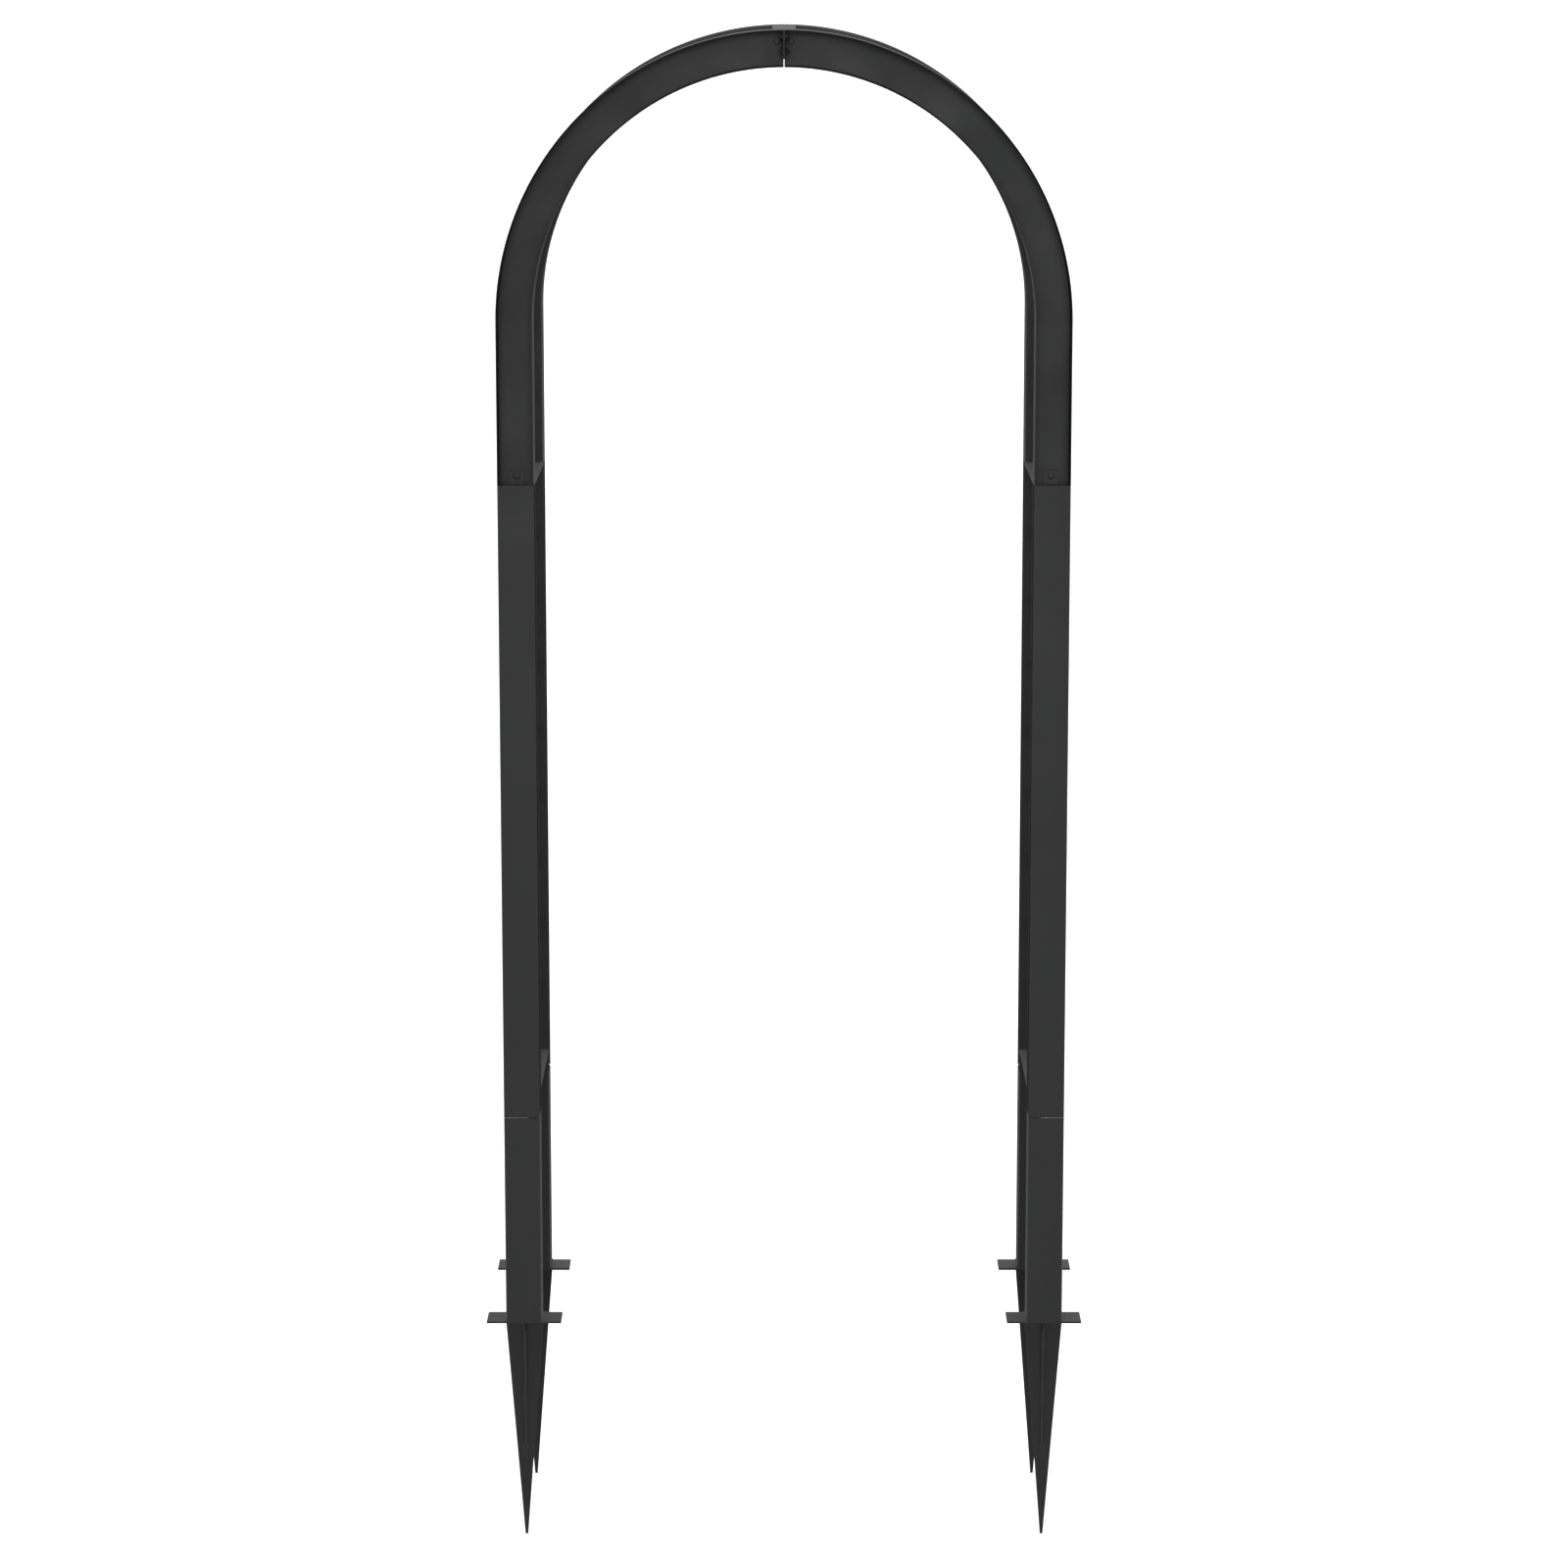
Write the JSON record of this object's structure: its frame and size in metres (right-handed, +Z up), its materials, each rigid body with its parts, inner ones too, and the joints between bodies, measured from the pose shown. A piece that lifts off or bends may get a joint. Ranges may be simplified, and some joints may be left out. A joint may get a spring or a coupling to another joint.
{
  "type": "garden trellis arch",
  "caption": "Free-standing round-topped garden arch of folded steel channel, front and rear frames joined by ladder rungs, on foot plates with cruciform ground spikes.",
  "frame": {"origin": "on the ground at the middle of the walkway, level with the undersides of the four foot plates; the spikes reach below it", "axes": "+Z up, +X to the right across the walkway, +Y from the front face to the rear face"},
  "size_m": [1.07, 0.4, 2.705],
  "materials": {
    "frame_powder_coat": "satin anthracite powder coat with a fine orange-peel texture",
    "rung_powder_coat": "satin anthracite powder coat on square tube",
    "spike_coat": "matt anthracite coat on plate, thin at the cut edges",
    "bare_steel": "zinc-plated inner tube",
    "fastener_steel": "blackened zinc"
  },
  "bodies": {
    "root": {"arch_channel_front_left": "frame_powder_coat", "arch_channel_rear_left": "frame_powder_coat", "arch_channel_front_right": "frame_powder_coat", "arch_channel_rear_right": "frame_powder_coat", "arch_base_plate_left": "frame_powder_coat", "arch_base_plate_right": "frame_powder_coat", "arch_rungs_left": "rung_powder_coat", "arch_rungs_right": "rung_powder_coat", "crown_tie": "frame_powder_coat", "splice_plate_front_left": "frame_powder_coat", "splice_plate_rear_left": "frame_powder_coat", "splice_plate_front_right": "frame_powder_coat", "splice_plate_rear_right": "frame_powder_coat", "stile_front_left": "frame_powder_coat", "stile_rear_left": "frame_powder_coat", "stile_front_right": "frame_powder_coat", "stile_rear_right": "frame_powder_coat", "panel_top_plate_left": "frame_powder_coat", "panel_top_plate_right": "frame_powder_coat", "panel_bottom_plate_left": "frame_powder_coat", "panel_bottom_plate_right": "frame_powder_coat", "panel_rung_left_1": "rung_powder_coat", "panel_rung_left_2": "rung_powder_coat", "panel_rung_left_3": "rung_powder_coat", "panel_rung_left_4": "rung_powder_coat", "panel_rung_left_5": "rung_powder_coat", "panel_rung_left_6": "rung_powder_coat", "panel_rung_left_7": "rung_powder_coat", "panel_rung_left_8": "rung_powder_coat", "panel_rung_right_1": "rung_powder_coat", "panel_rung_right_2": "rung_powder_coat", "panel_rung_right_3": "rung_powder_coat", "panel_rung_right_4": "rung_powder_coat", "panel_rung_right_5": "rung_powder_coat", "panel_rung_right_6": "rung_powder_coat", "panel_rung_right_7": "rung_powder_coat", "panel_rung_right_8": "rung_powder_coat", "leg_front_left": "frame_powder_coat", "leg_rear_left": "frame_powder_coat", "leg_front_right": "frame_powder_coat", "leg_rear_right": "frame_powder_coat", "leg_spigot_front_left": "bare_steel", "leg_spigot_rear_left": "bare_steel", "leg_spigot_front_right": "bare_steel", "leg_spigot_rear_right": "bare_steel", "foot_plate_front_left": "frame_powder_coat", "foot_plate_rear_left": "frame_powder_coat", "foot_plate_front_right": "frame_powder_coat", "foot_plate_rear_right": "frame_powder_coat", "spike_front_left": "spike_coat", "spike_rear_left": "spike_coat", "spike_front_right": "spike_coat", "spike_rear_right": "spike_coat", "crown_bolts": "fastener_steel", "tie_bolts": "fastener_steel", "splice_bolts": "fastener_steel", "base_plate_bolts": "fastener_steel", "spigot_screws": "fastener_steel", "hex_nuts": "fastener_steel"}
  },
  "joints": []
}
